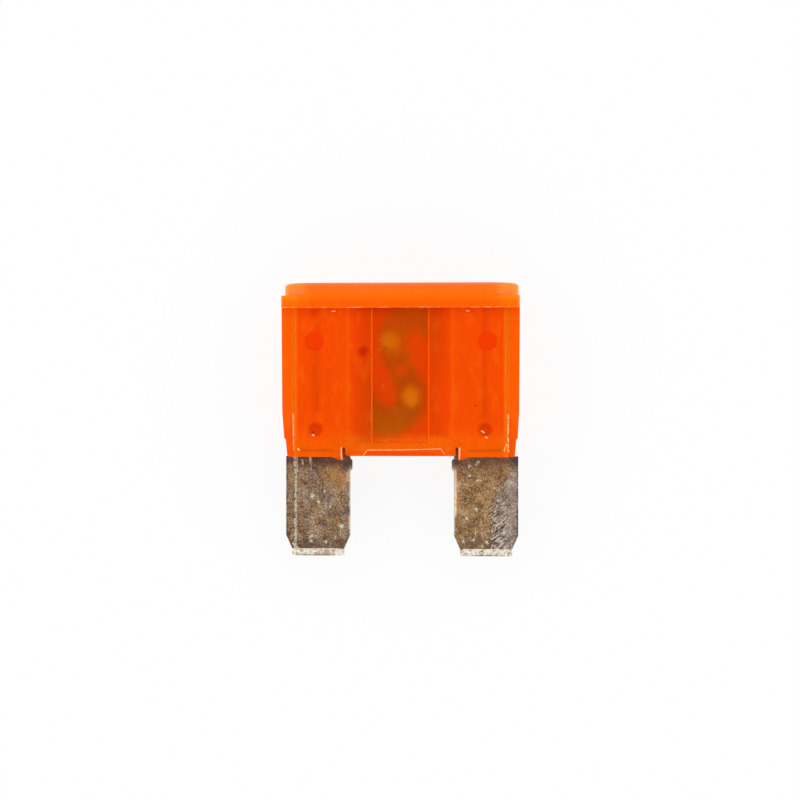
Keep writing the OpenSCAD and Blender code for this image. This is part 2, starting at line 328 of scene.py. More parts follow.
# Spans in millimetres: out from the middle line, up from the mouth where the name says
# height or fade, and out from the middle plane where it says depth
WINDOW_EDGE = (WINDOW_HALF_WIDTH - 0.07, WINDOW_HALF_WIDTH + 0.10)
LEG_EDGE = (LEG_INNER - 0.25, LEG_INNER + 0.15)
PANEL_EDGE = (PANEL_HALF_WIDTH - 0.35, PANEL_HALF_WIDTH + 0.1)
PANEL_STEP = (PANEL_HALF_WIDTH + 0.02, PANEL_HALF_WIDTH + 0.3)
GROOVE = (10.05, 10.75)
GROOVE_FADE = (3.8, 6.0)
LOW_LEG_FADE = (2.2, 5.5)
FOOT_LINE = (8.2, 12.4)
FOOT_LINE_HEIGHT = (0.62, 0.98)
FOOT_HAZE_FADE = (2.0, 4.3)
FOOT_TONE_FADE = (1.8, 3.2)
FOOT_TONE_SIDE = (6.2, 6.9)
MOUTH_LINE_HEIGHT = (0.72, 0.82)
FLANGE_EDGE_HEIGHT = (FLANGE_BOTTOM - 0.02, FLANGE_BOTTOM + 0.07)
FLANGE_EDGE_DEPTH = (4.2, 4.3)
CROWN_END = (11.2, 14.8)
WHITE_EDGE = (13.18, 13.34)
WHITE_EDGE_HEIGHT = (0.7, 5.3)
PALE_MARKS_DEPTH = (2.6, 2.8)

# Round marks of the moulding: centres, then radius and softness
PEGS = ((-10.6, 14.25), (10.72, 14.25))
PEG_DISC = (1.2, 0.17)
CLAMP_MARKS = ((-10.45, 3.4), (10.45, 3.4))
CLAMP_DISC = (0.85, 0.35)
SINK_MARK = ((-10.75, 17.85), 0.4, 0.3)
GATE_MARK = ((-4.5, 13.0), 0.62, 0.33)
BOSS_GLOWS = ((-1.35, 14.4), (1.3, 7.6))
BOSS_GLOW_DISC = (1.0, 0.7)

# Pale marks on the front face, start, end and half width of each: painted glints along the mouth's
# notch, the panel's edge and in the clamp marks, and pale lines, flecks and scratches elsewhere
PALE_LINES = [
    ((-4.53, 0.26), (-4.04, 0.85), 0.035),
    ((-4.04, 0.85), (0.2, 0.88), 0.04),
    ((0.2, 0.88), (4.99, 1.02), 0.035),
    ((4.99, 1.02), (5.42, 0.38), 0.03),
    ((-7.27, 1.15), (-7.24, -0.5), 0.07),
    ((7.30, 1.1), (7.27, -0.3), 0.08),
    ((13.05, 1.6), (12.75, 0.8), 0.06),
    ((13.24, 1.2), (13.36, 0.6), 0.05),
]
FLECKS_AND_GLINTS = [
    ((-12.6, 1.0), (-12.5, 0.85), 0.1),
    ((-10.8, 2.75), (-10.65, 2.65), 0.1),
    ((10.0, 3.2), (10.3, 3.02), 0.09),
    ((10.5, 2.45), (10.65, 2.4), 0.1),
    ((-8.4, 17.93), (-8.05, 17.96), 0.07),
    ((8.15, 17.95), (8.5, 17.93), 0.06),
    ((-2.85, 13.05), (-2.35, 13.25), 0.02),
    ((-2.3, 8.6), (-2.1, 8.9), 0.03),
    ((-2.3, 2.3), (-1.5, 1.65), 0.015),
    ((-3.0, 11.3), (-2.95, 11.35), 0.03),
]
# Black specks: centre and radius of each
BLACK_SPECKS = [
    ((9.25, 6.35), 0.13),
    ((-10.8, 3.0), 0.12),
    ((-6.85, 0.5), 0.16),
    ((-6.7, 0.1), 0.2),
]

# Colours of the plastic, in linear red, green and blue
CLEAR_TINT = (0.97, 0.52, 0.025)
GLOW_RED = (0.85, 0.045, 0.0005)
BODY_ORANGE = (0.93, 0.062, 0.0006)
LEG_ORANGE = (0.965, 0.076, 0.0006)
LOW_LEG_ORANGE = (0.99, 0.118, 0.001)
LEG_EDGE_ORANGE = (0.98, 0.12, 0.001)
GROOVE_SHADE_RED = (0.66, 0.035, 0.0006)
RAIL_ORANGE = (1.0, 0.116, 0.001)
PANEL_EDGE_HIGHLIGHT = (0.985, 0.175, 0.003)
PANEL_STEP_FILL_LIGHT = (1.0, 0.23, 0.008)
WINDOW_EDGE_HIGHLIGHT = (1.0, 0.135, 0.0012)
FOOT_LINE_BROWN = (0.70, 0.09, 0.002)
FOOT_ORANGE = (0.93, 0.125, 0.002)
MOUTH_ORANGE = (0.95, 0.078, 0.001)
MARK_RED = (0.86, 0.036, 0.0006)
GATE_RED = (0.50, 0.016, 0.001)
BOSS_GLOW_GOLD = (1.0, 0.31, 0.002)
FLANGE_ORANGE = (0.985, 0.115, 0.001)
CROWN_ORANGE = (0.99, 0.165, 0.004)
CROWN_TOP_HIGHLIGHT = (0.99, 0.17, 0.022)
CROWN_END_HIGHLIGHT = (0.985, 0.26, 0.004)
MOTTLE_RED = (0.72, 0.05, 0.001)
WISP_ORANGE = (0.99, 0.15, 0.003)
FLANGE_EDGE_HIGHLIGHT = (0.99, 0.20, 0.01)
WHITENING_AND_GLINT = (1.0, 0.66, 0.36)
WINDOW_FLECK_ORANGE = (1.0, 0.34, 0.05)
SPECK_BLACK = (0.10, 0.02, 0.01)

# Gloss and relief of the plastic. A relief is a bump's strength and its depth in metres.
PLASTIC_IOR = 1.49
BODY_ROUGHNESS = 0.17
BODY_SPECULAR = 0.25
INNER_ROUGHNESS = 0.55
OUTER_ROUGHNESS = 0.14
PLASTIC_RELIEF = (0.3, 0.02 * MM)

# Painted glow of the inner walls, an emission that stands for light the dyed plastic carries: its
# strength from the front part to the back, and how it sets in over the mouth and grows further up
GLOW_DEPTH = (0.6, 0.2)
GLOW_STRENGTH = (0.055, 0.19)
GLOW_FOOT = (1.0, 2.2)
GLOW_HEIGHT = (7.0, 15.0)
GLOW_GROWTH = (1.0, 1.25)


def plastic_zones(graph):
    """How much a point belongs to each region of the housing, from 0 to 1."""
    zones = SimpleNamespace()
    zones.front = graph.rise(graph.z, *OUTER_SKIN)
    zones.head = graph.rise(graph.y, FLANGE_BOTTOM - 0.04, FLANGE_BOTTOM + 0.04)
    zones.rail = graph.rise(graph.side, PANEL_HALF_WIDTH + 0.05, PANEL_HALF_WIDTH + 0.25)
    zones.outside = graph.either(
        graph.rise(graph.absolute(graph.z), *OUTER_SKIN), zones.rail, zones.head)
    zones.window_edge = graph.times(
        graph.band(graph.side, *WINDOW_EDGE, 0.03),
        graph.band(graph.y, WINDOW_BOTTOM, FLANGE_BOTTOM, 0.1), zones.front)
    return zones


def plastic_haze(graph, zones, noise):
    """Share of the light that the dye scatters: most in thick plastic, little in the window.

    The back scatters nearly as much as the crown, so the window isn't open to the floor.
    """
    flank = graph.rise(graph.side, WINDOW_HALF_WIDTH, LEG_INNER + 0.2, *FLANK_HAZE)
    beside_window = graph.rise(
        graph.side, WINDOW_HALF_WIDTH - 0.02, WINDOW_HALF_WIDTH + 0.02, WINDOW_HAZE, 1.0)
    panel = graph.math("MINIMUM", flank, beside_window)
    slanted = graph.add(graph.y, graph.times(noise.cloud, 1.2), graph.times(graph.x, -0.12))
    foot = graph.rise(slanted, *FOOT_HAZE_FADE, FOOT_HAZE, 0.0)
    back = graph.rise(graph.z, -OUTER_SKIN[1], -OUTER_SKIN[0], BACK_HAZE, 0.0)
    thick = graph.either(
        graph.times(zones.head, HEAD_HAZE), graph.times(zones.rail, RAIL_HAZE), foot, back,
        zones.window_edge)
    haze = graph.add(graph.either(panel, thick), graph.sway(noise.cloud, 0.16))
    return graph.math("MULTIPLY", haze, zones.outside, True)


def paint_body(graph, zones, noise):
    """Colour of the light that the housing's body scatters."""
    side, y = graph.side, graph.y
    low = graph.rise(graph.add(y, graph.times(noise.cloud, 2.0)), *LOW_LEG_FADE, 1.0, 0.0)
    leg = graph.mix(low, LEG_ORANGE, LOW_LEG_ORANGE)
    paint = Paint(graph, BODY_ORANGE, plastic_haze(graph, zones, noise))
    paint.over(leg, graph.rise(side, LEG_INNER - 1.0, LEG_INNER + 0.2))
    # Painted shade: a darker red stripe down each leg's groove
    groove = graph.times(graph.band(side, *GROOVE, 0.55), graph.rise(y, *GROOVE_FADE))
    paint.over(GROOVE_SHADE_RED, groove, zones.front, graph.rise(noise.streak, 0.3, 0.7, 0.25, 0.5))
    paint.over(LEG_EDGE_ORANGE, graph.band(side, *LEG_EDGE, 0.2), 0.5, zones.front)
    paint.over(RAIL_ORANGE, zones.rail)
    # Painted highlight: a bright line along the panel's edge
    paint.over(PANEL_EDGE_HIGHLIGHT, graph.band(side, *PANEL_EDGE, 0.2), 0.85, zones.front)
    # Painted light that lifts the shade in the step down to the rail
    paint.over(PANEL_STEP_FILL_LIGHT, graph.band(side, *PANEL_STEP, 0.04), 0.8, zones.front)
    # Painted highlight: thin bright lines along the window's edges
    paint.over(WINDOW_EDGE_HIGHLIGHT, zones.window_edge)
    return paint


def paint_foot(graph, paint):
    """The thick wall at the mouth, and the line of shade above it at each leg."""
    side, y = graph.side, graph.y
    line = graph.times(graph.band(y, *FOOT_LINE_HEIGHT, 0.14), graph.band(side, *FOOT_LINE, 0.3))
    paint.over(FOOT_LINE_BROWN, line, 0.7)
    foot = graph.times(
        graph.rise(y, *FOOT_TONE_FADE, 1.0, 0.0), graph.rise(side, *FOOT_TONE_SIDE, 1.0, 0.0))
    paint.over(FOOT_ORANGE, foot)
    slanted = graph.add(y, graph.times(side, -0.01))
    paint.over(MOUTH_ORANGE, foot, graph.rise(slanted, *MOUTH_LINE_HEIGHT, 1.0, 0.0))


def paint_round_marks(graph, zones, paint):
    """Pegs, clamp marks, sink mark and gate's mark, darker and redder than the rest."""
    flat = graph.flat
    pegs = graph.discs(flat, PEGS, *PEG_DISC)
    clamps = graph.times(graph.discs(flat, CLAMP_MARKS, *CLAMP_DISC), 0.85)
    sink = graph.times(graph.disc(flat, *SINK_MARK), 0.7)
    red = graph.times(graph.either(pegs, clamps, sink), zones.front)
    gate = graph.times(graph.disc(flat, *GATE_MARK), zones.front)
    paint.over(MARK_RED, red, 0.85)
    paint.over(GATE_RED, gate)
    paint.thicken(gate, 0.9)
    return red


def paint_boss_glow(graph, zones, paint):
    """Painted golden light that the link's bosses throw into the window over them."""
    glow = graph.times(graph.discs(graph.flat, BOSS_GLOWS, *BOSS_GLOW_DISC), zones.front)
    paint.over(BOSS_GLOW_GOLD, glow, 0.9)
    paint.haze = graph.add(paint.haze, graph.times(glow, 0.07))


def head_colour(graph, noise):
    """Flange and crown, paler towards the crown's top and ends: painted light on the crown's
    rounded top and ends.
    """
    y = graph.y
    paint = Paint(graph, FLANGE_ORANGE)
    paint.over(CROWN_ORANGE, graph.rise(y, FLANGE_BOTTOM + 0.5, CROWN_BOTTOM + 0.2))
    # Painted highlight on the crown's rounded top
    paint.over(CROWN_TOP_HIGHLIGHT, graph.rise(y, CROWN_BOTTOM, CROWN_ROUNDING))
    uneven_side = graph.add(graph.side, graph.times(noise.cloud, 2.0))
    # Painted light at the crown's rounded ends
    paint.over(
        CROWN_END_HIGHLIGHT, graph.rise(uneven_side, *CROWN_END),
        graph.rise(y, FLANGE_BOTTOM + 0.6, CROWN_BOTTOM + 0.1, 0.3, 1.0))
    return paint.colour


def paint_pale_marks_and_glints(graph, zones, noise, paint):
    """Painted highlight along the flange's lower edge with pale specks, painted glint along the
    panel's edge, and pale marks that are partly painted glints.
    """
    flange_edge = graph.times(
        graph.band(graph.y, *FLANGE_EDGE_HEIGHT, 0.03),
        graph.rise(graph.absolute(graph.z), *FLANGE_EDGE_DEPTH))
    # Painted highlight: a bright line along the flange's lower edge
    paint.over(FLANGE_EDGE_HIGHLIGHT, flange_edge, 0.8)
    flange_edge_specks = graph.times(flange_edge, graph.rise(noise.wear, 0.46, 0.56), 0.6)
    # Painted glint: a broken white line along the panel's edge near the mouth
    panel_edge_glint = graph.times(
        graph.band(graph.side, *WHITE_EDGE, 0.05), graph.band(graph.y, *WHITE_EDGE_HEIGHT, 0.2),
        graph.rise(noise.mottle, 0.36, 0.5))
    marks = graph.times(
        graph.strokes(graph.flat, PALE_LINES + FLECKS_AND_GLINTS, 0.03),
        graph.rise(noise.mottle, 0.3, 0.5, 0.45, 1.0))
    pale = graph.times(
        graph.either(flange_edge_specks, panel_edge_glint, marks), graph.rise(graph.z, *PALE_MARKS_DEPTH))
    off_window = graph.either(
        graph.rise(graph.side, WINDOW_HALF_WIDTH, WINDOW_HALF_WIDTH + 0.1),
        graph.rise(graph.y, WINDOW_BOTTOM - 0.1, WINDOW_BOTTOM - 0.4), zones.head)
    # Whitening and painted glints: pale, orange over the window
    paint.over(graph.mix(off_window, WINDOW_FLECK_ORANGE, WHITENING_AND_GLINT), pale, 0.9)
    paint.thicken(pale)


def paint_black_specks(graph, zones, noise, paint):
    """The dark speck on the right and the scorched ones at the left slit."""
    specks = graph.times(
        graph.spots(graph.flat, BLACK_SPECKS, 0.05), zones.front,
        graph.rise(noise.mottle, 0.35, 0.5, 0.3, 1.0))
    paint.over(SPECK_BLACK, specks, 0.75)
    paint.thicken(specks, 0.8)


def plastic_normal(graph, zones, noise):
    """Waves and scratches. The front's clamp marks shade as if flat, free of pale rings."""
    scratches = graph.rise(noise.scratch, 0.6, 0.75)
    relief = graph.add(
        graph.times(noise.cloud, 0.8), graph.times(noise.mottle, 0.12), scratches)
    clamps = graph.discs(graph.flat, CLAMP_MARKS, *CLAMP_DISC)
    in_clamp = graph.times(graph.rise(clamps, 0.0, 0.15), zones.front)
    return graph.mix(in_clamp, graph.bump(relief, *PLASTIC_RELIEF), FRONT)


def scattering_plastic(graph, colour, normal):
    """The part of the plastic that shows its dye."""
    shader = graph.node("BsdfPrincipled")
    graph.put(colour, shader.inputs["Base Color"])
    shader.inputs["Roughness"].default_value = BODY_ROUGHNESS
    shader.inputs["IOR"].default_value = PLASTIC_IOR
    shader.inputs["Specular IOR Level"].default_value = BODY_SPECULAR
    graph.put(normal, shader.inputs["Normal"])
    return shader.outputs[0]


def clear_plastic(graph, zones, normal):
    """The part that is seen through. Its inner walls carry a painted glow, an emission that stands
    for light from the dye around.
    """
    shader = graph.node("BsdfPrincipled")
    shader.inputs["Base Color"].default_value = (*CLEAR_TINT, 1)
    graph.put(
        graph.rise(zones.outside, 0.0, 1.0, INNER_ROUGHNESS, OUTER_ROUGHNESS),
        shader.inputs["Roughness"])
    shader.inputs["IOR"].default_value = PLASTIC_IOR
    shader.inputs["Transmission Weight"].default_value = 1.0
    shader.inputs["Emission Color"].default_value = (*GLOW_RED, 1)
    glow = graph.times(
        graph.less(1.0, zones.outside), graph.rise(graph.z, *GLOW_DEPTH, *GLOW_STRENGTH),
        graph.rise(graph.y, *GLOW_FOOT), graph.rise(graph.y, *GLOW_HEIGHT, *GLOW_GROWTH))
    graph.put(glow, shader.inputs["Emission Strength"])
    graph.put(normal, shader.inputs["Normal"])
    return shader.outputs[0]


def housing_plastic():
    material, graph, out = new_material("orange_plastic", FuseGraph)
    noise = graph.patterns(PLASTIC_PATTERNS)
    zones = plastic_zones(graph)
    paint = paint_body(graph, zones, noise)
    paint_foot(graph, paint)
    red = paint_round_marks(graph, zones, paint)
    paint_boss_glow(graph, zones, paint)
    paint.over(head_colour(graph, noise), zones.head)
    paint.over(MOTTLE_RED, graph.rise(noise.mottle, 0.35, 0.62, 0.2, 0.0))
    paint.over(WISP_ORANGE, graph.rise(noise.wisps, 0.5, 0.7, 0.0, 0.4), graph.less(1.0, red))
    paint_pale_marks_and_glints(graph, zones, noise, paint)
    paint_black_specks(graph, zones, noise, paint)

    normal = plastic_normal(graph, zones, noise)
    clear = clear_plastic(graph, zones, normal)
    body = scattering_plastic(graph, paint.colour, normal)
    graph.put(graph.blend(paint.haze, clear, body), out.inputs["Surface"])
    return material


# Tinned strip

# Noise patterns: stretch along x, y and z, then scale, detail and roughness
METAL_PATTERNS = {
    "patches": ((1.0, 1.0, 1.0), 0.5, 4.0, 0.6),
    "blotches": ((1.0, 0.8, 1.0), 1.5, 4.0, 0.65),
    "grain": ((1.0, 1.0, 1.0), 4.5, 3.0, 0.7),
    "fine": ((1.0, 0.75, 1.0), 8.0, 2.0, 0.7),
    "hue": ((1.1, 0.8, 1.4), 0.9, 3.0, 0.6),
    "tint": ((1.0, 1.2, 0.9), 3.2, 3.0, 0.8),
}

# Spans in millimetres, along x, y or z or out from the middle line. From the first number
# to the second a thing sets in, or it lies between the two.
INSIDE_HOUSING = (0.9, 1.6)
LOW_BLADE = (-9.6, -11.0)
BURNT = (-1.7, -0.5)
BEVEL_TOP = (-11.58, -11.48)
BURR = (-12.12, -12.24)
BURR_SIDE = (8.6, 12.4)
RUDDY_TIP = (-11.1, -8.6)
INNER_EDGE = (6.68, 6.54)
OUTER_EDGE = (14.22, 14.42)
WORN_EDGE = (-9.8, -1.5)
COPPER_FADE = (8.3, 7.3)
COPPER_HEIGHT = (-6.5, -1.6)
RUBBED_EDGE = (6.2, 6.82)
RUBBED_HEIGHT = (-7.4, -1.7)
FILL_LIGHT_FADE = (8.0, 16.5)
STRIP_FRONT = (-0.1, 0.2)

# The tips' tapered sides: how far they lean in for each millimetre down, and where the
# outer and the inner one would cross the mouth
TAPER = 0.288
OUTER_TAPER = (17.08, 17.26)
INNER_TAPER = (3.92, 3.74)

# The scraped zone on the right blade: its left edge, the height above which that edge
# bends away to the right and how fast, then how its ridges fade towards the blade's
# outer side and upwards, and how they slant
SCRAPED_EDGE = (11.1, 11.5)
SCRAPED_RIM = (10.9, 11.35)
SCRAPED_RIM_FADE = (-3.5, -6.0)
SCRAPED_BEND = -8.5
SCRAPED_BEND_RATE = 0.056
RIDGE_FADE = (13.6, 12.6)
RIDGE_HEIGHT = (-4.0, -8.5)
RIDGE_SLANT = 0.72
RIDGE_STRETCH = (1.0, 3.8, 1.0)

# Round marks: centre, radius and softness
GOLD_PATCH = ((-8.0, -2.7), 1.4, 1.3)
PINK_HIGHLIGHT_PATCH = ((-6.5, -3.0), 0.75, 0.6)
BLUED_CORNERS = [
    ((14.3, -0.7), 0.7, 0.7),
    ((6.9, -0.85), 0.35, 0.5),
    ((-6.9, -1.2), 0.35, 0.5),
    ((-14.2, -0.4), 0.3, 0.4),
]
BOSSES = ((-1.25, 14.4), (1.25, 7.5))
BOSS_DISC = (1.15, 0.5)

# Bare or tinned marks on the blades: start, end and half width of each
BLADE_SCRATCHES = [
    ((-13.32, 0.2), (-13.28, -1.9), 0.26),
    ((-13.28, -1.9), (-13.3, -11.4), 0.14),
    ((-11.45, 0.1), (-11.4, -1.7), 0.13),
    ((-12.45, -0.5), (-12.4, -1.0), 0.1),
    # This one is a painted highlight on the left blade's inner edge
    ((-6.75, -2.1), (-6.6, -3.0), 0.17),
    ((-13.6, -10.9), (-13.1, -11.5), 0.2),
    ((6.62, -2.4), (6.6, -7.6), 0.1),
    ((7.0, -3.4), (7.1, -4.4), 0.08),
    ((13.4, -3.0), (13.7, -3.2), 0.18),
    ((12.0, -10.65), (12.4, -10.5), 0.12),
    ((9.4, -2.9), (10.0, -3.1), 0.09),
]
# Spots of tin: centre and radius of each
TIN_SPOTS = [
    ((-11.3, -5.1), 0.2), ((-11.1, -4.95), 0.14), ((-9.7, -4.4), 0.17),
    ((-10.45, -5.7), 0.16), ((-7.55, -8.8), 0.28), ((-11.3, -10.0), 0.18),
    ((-11.35, -10.6), 0.16), ((-9.5, -10.7), 0.16), ((-8.3, -10.1), 0.12),
    ((-10.1, -7.6), 0.12), ((-9.0, -6.3), 0.12),
    ((9.55, -0.7), 0.17), ((8.45, -1.2), 0.15), ((9.3, -1.1), 0.13),
    ((8.43, -2.4), 0.15), ((11.95, -5.5), 0.14), ((9.3, -6.6), 0.17),
    ((8.1, -7.7), 0.14), ((7.3, -3.4), 0.12), ((8.9, -10.4), 0.15),
    ((7.7, -10.6), 0.17), ((10.6, -10.7), 0.2), ((10.05, -11.2), 0.14),
]

# Colours of the metal, in linear red, green and blue. A ramp's stops go from the dark
# to the pale grains.
BROWN_STOPS = [
    (0.40, (0.040, 0.018, 0.012)),
    (0.46, (0.15, 0.078, 0.042)),
    (0.51, (0.31, 0.19, 0.098)),
    (0.56, (0.47, 0.34, 0.19)),
    (0.63, (0.74, 0.64, 0.43)),
]
GOLD_STOPS = [
    (0.40, (0.060, 0.024, 0.010)),
    (0.47, (0.25, 0.110, 0.032)),
    (0.53, (0.47, 0.275, 0.095)),
    (0.62, (0.76, 0.62, 0.36)),
]
MAUVE_STOPS = [
    (0.40, (0.085, 0.052, 0.044)),
    (0.50, (0.33, 0.235, 0.185)),
    (0.60, (0.64, 0.55, 0.46)),
]
BARE_AND_SHEEN_STOPS = [
    (0.38, (0.16, 0.10, 0.06)),
    (0.46, (0.56, 0.46, 0.35)),
    (0.54, (0.84, 0.79, 0.67)),
]
BRIGHT_GOLD = (0.68, 0.33, 0.09)
PINK_EDGE_HIGHLIGHT = (0.80, 0.40, 0.22)
RUST = (0.40, 0.15, 0.065)
OLIVE = (0.24, 0.23, 0.12)
LOW_BROWN = (0.075, 0.034, 0.022)
RIDGE_DARK = (0.045, 0.030, 0.030)
RIDGE_PALE = (0.70, 0.62, 0.50)
RIM_DARK = (0.06, 0.032, 0.026)
COPPER = (0.74, 0.29, 0.10)
RUBBED_CREAM = (1.0, 0.80, 0.50)
BURNT_BROWN = (0.105, 0.040, 0.024)
BLUED = (0.050, 0.048, 0.062)
TIP_RUDDY = (0.50, 0.30, 0.19)
BURR_DARK = (0.10, 0.085, 0.075)
EDGE_DARK = (0.055, 0.040, 0.040)
WARM_TIN = (0.80, 0.76, 0.58)
COOL_TIN = (0.72, 0.76, 0.68)
SCRATCH_TIN = (0.70, 0.66, 0.49)
CLEAN_DARK = (0.36, 0.44, 0.36)
CLEAN_PALE = (0.54, 0.62, 0.50)
CLEAN_FILL_LIGHT = (0.86, 0.92, 0.72)
BOSS_HIGHLIGHT = (1.0, 0.98, 0.9)

# Sheen of the metal, from the blades to the clean metal inside the housing, and from the
# tarnish to the pale tin. The relief is a bump's strength and its depth in metres.
METALLIC = (0.3, 0.1)
METAL_ROUGHNESS = (0.5, 0.35)
METAL_RELIEF = (0.55, 0.04 * MM)


def paint_tarnish(graph, noise, on_right):
    """Heat-browned tin: brown, gold and mauve in blotches with a fine grain, and a painted pink
    highlight on the left blade's inner edge.
    """
    tone = graph.add(
        graph.times(noise.patches, 0.15), graph.times(noise.blotches, 0.22),
        graph.times(noise.grain, 0.38), graph.times(noise.fine, 0.25),
        graph.times(on_right, 0.006))
    mauve = graph.ramp(tone, MAUVE_STOPS)
    left_gold = graph.times(
        graph.disc(graph.flat, *GOLD_PATCH), graph.rise(noise.blotches, 0.35, 0.6, 0.5, 1.0))
    golden = graph.either(
        graph.times(on_right, 0.75), left_gold,
        graph.times(graph.rise(noise.hue, 0.52, 0.62), 0.45))
    paint = Paint(graph, graph.ramp(tone, BROWN_STOPS))
    paint.over(graph.ramp(tone, GOLD_STOPS), golden)
    paint.over(BRIGHT_GOLD, left_gold, graph.rise(noise.grain, 0.38, 0.58, 0.25, 0.95))
    # Painted highlight: pink-cream light on the left blade's inner edge
    paint.over(
        PINK_EDGE_HIGHLIGHT, graph.disc(graph.flat, *PINK_HIGHLIGHT_PATCH),
        graph.rise(noise.grain, 0.35, 0.5, 0.4, 1.0))
    paint.over(
        mauve, graph.rise(noise.hue, 0.49, 0.40), graph.less(0.6, graph.times(on_right, 0.4)))
    paint.over(RUST, graph.rise(noise.tint, 0.53, 0.66, 0.0, 0.5))
    paint.over(OLIVE, graph.rise(noise.tint, 0.46, 0.34, 0.0, 0.5))
    uneven_y = graph.add(graph.y, graph.sway(noise.blotches, 4.0))
    paint.over(LOW_BROWN, graph.rise(uneven_y, *LOW_BLADE), 0.55)
    return paint, mauve


def paint_scraped(graph, noise, paint, mauve):
    """Scraped part of the right blade, ridged where the socket's spring dug in.

    Gives back the height of the ridges.
    """
    x, y = graph.x, graph.y
    above = graph.either(graph.less(y, SCRAPED_BEND), 0.0)
    wobble = graph.add(graph.sway(noise.grain, 2.2), graph.sway(noise.blotches, 3.4))
    reach = graph.add(graph.times(above, above, -SCRAPED_BEND_RATE), wobble, x)
    scraped = graph.rise(reach, *SCRAPED_EDGE)
    ridges = graph.noise(graph.turn(graph.flat, RIDGE_SLANT, RIDGE_STRETCH), 1.0, 3.0, 0.65)
    dug = graph.times(graph.rise(x, *RIDGE_FADE), graph.rise(y, *RIDGE_HEIGHT, 0.2, 1.0))
    scrape = Paint(graph, mauve)
    scrape.over(RIDGE_DARK, dug, graph.rise(ridges, 0.47, 0.41))
    scrape.over(RIDGE_PALE, dug, graph.rise(ridges, 0.55, 0.61))
    paint.over(scrape.colour, scraped)
    paint.over(
        RIM_DARK, graph.band(reach, *SCRAPED_RIM, 0.2), graph.rise(ridges, 0.56, 0.48),
        graph.rise(y, *SCRAPED_RIM_FADE), 0.8)
    return graph.times(scraped, dug, ridges)


def paint_copper_edge(graph, noise, paint):
    """Copper and rubbed metal along the inner edge of the right blade."""
    uneven_x = graph.add(graph.x, graph.times(noise.blotches, 1.6))
    paint.over(
        COPPER, graph.rise(uneven_x, *COPPER_FADE), graph.band(graph.y, *COPPER_HEIGHT, 0.9),
        graph.rise(graph.x, LEG_INNER - 0.5, LEG_INNER - 0.3),
        graph.rise(noise.grain, 0.3, 0.6, 0.5, 0.95))
    grained_x = graph.add(graph.x, graph.sway(noise.grain, 0.4))
    paint.over(
        RUBBED_CREAM, graph.band(grained_x, *RUBBED_EDGE, 0.08),
        graph.band(graph.y, *RUBBED_HEIGHT, 0.4), graph.rise(noise.blotches, 0.40, 0.50, 0.5, 1.0))


def paint_burnt(graph, noise, on_right, paint):
    """Darkest tarnish against the housing, bluish at the corners."""
    uneven_y = graph.add(graph.y, graph.sway(noise.blotches, 3.0))
    paint.over(
        BURNT_BROWN, graph.rise(uneven_y, *BURNT), graph.less(0.8, graph.times(on_right, 0.25)))
    corners = graph.either(*[graph.disc(graph.flat, *corner) for corner in BLUED_CORNERS])
    paint.over(BLUED, corners, 0.85)


def paint_dark_edges(graph, noise, paint):
    """The cut edges on the blades' outer sides and tapers, dark by place."""
    lean = graph.times(graph.y, TAPER)
    edges = graph.either(
        graph.rise(graph.side, *OUTER_EDGE), graph.rise(graph.less(graph.side, lean), *OUTER_TAPER),
        graph.rise(graph.add(graph.side, lean), *INNER_TAPER))
    paint.over(EDGE_DARK, edges, graph.rise(noise.blotches, 0.62, 0.46), 0.7)


def paint_tin(graph, noise, paint):
    """Pale tin in the scratches, spots and dust, and at the inner edges.

    Gives back how much of it there is.
    """
    wavy = graph.point(graph.add(graph.x, graph.sway(noise.blotches, 0.5)), graph.y)
    scratched = graph.times(
        graph.strokes(wavy, BLADE_SCRATCHES, 0.06), graph.rise(noise.grain, 0.40, 0.52, 0.2, 1.0),
        graph.rise(noise.blotches, 0.36, 0.56, 0.35, 1.0))
    ragged = graph.point(
        graph.add(graph.x, graph.sway(noise.grain, 0.9)),
        graph.add(graph.y, graph.sway(noise.fine, 0.9)))
    spots = graph.spots(ragged, TIN_SPOTS, 0.09)
    dust = graph.times(
        graph.dots(graph.flat, 1.9, 0.10, 0.05), graph.rise(noise.patches, 0.42, 0.55), 0.8)
    worn = graph.times(
        graph.rise(graph.side, *INNER_EDGE), graph.band(graph.y, *WORN_EDGE, 0.4),
        graph.rise(noise.blotches, 0.42, 0.52), 0.9)
    pale = graph.times(
        graph.either(scratched, spots, worn, dust), graph.rise(graph.z, *STRIP_FRONT))
    tin = graph.mix(graph.rise(noise.hue, 0.4, 0.6), WARM_TIN, COOL_TIN)
    paint.over(graph.mix(scratched, tin, SCRATCH_TIN), pale, 0.9)
    return pale


def paint_tips(graph, noise, paint):
    """Bare, pale bevels at the blades' tips with a painted sheen where they catch the light, ruddy
    on the left and burred at the end.
    """
    tone = graph.add(graph.times(noise.grain, 0.6), graph.times(noise.blotches, 0.4))
    # Pale ramp: untinned metal with a painted sheen
    bare = Paint(graph, graph.ramp(tone, BARE_AND_SHEEN_STOPS))
    bare.over(
        TIP_RUDDY, graph.band(graph.x, *RUDDY_TIP, 0.4), graph.rise(noise.blotches, 0.6, 0.42),
        0.8)
    burr_y = graph.add(graph.y, graph.times(noise.blotches, 0.3))
    bare.over(
        BURR_DARK, graph.rise(burr_y, *BURR), graph.band(graph.side, *BURR_SIDE, 0.8), 0.75)
    grained_y = graph.add(graph.y, graph.sway(noise.grain, 0.3))
    paint.over(bare.colour, graph.rise(grained_y, *BEVEL_TOP, 1.0, 0.0))


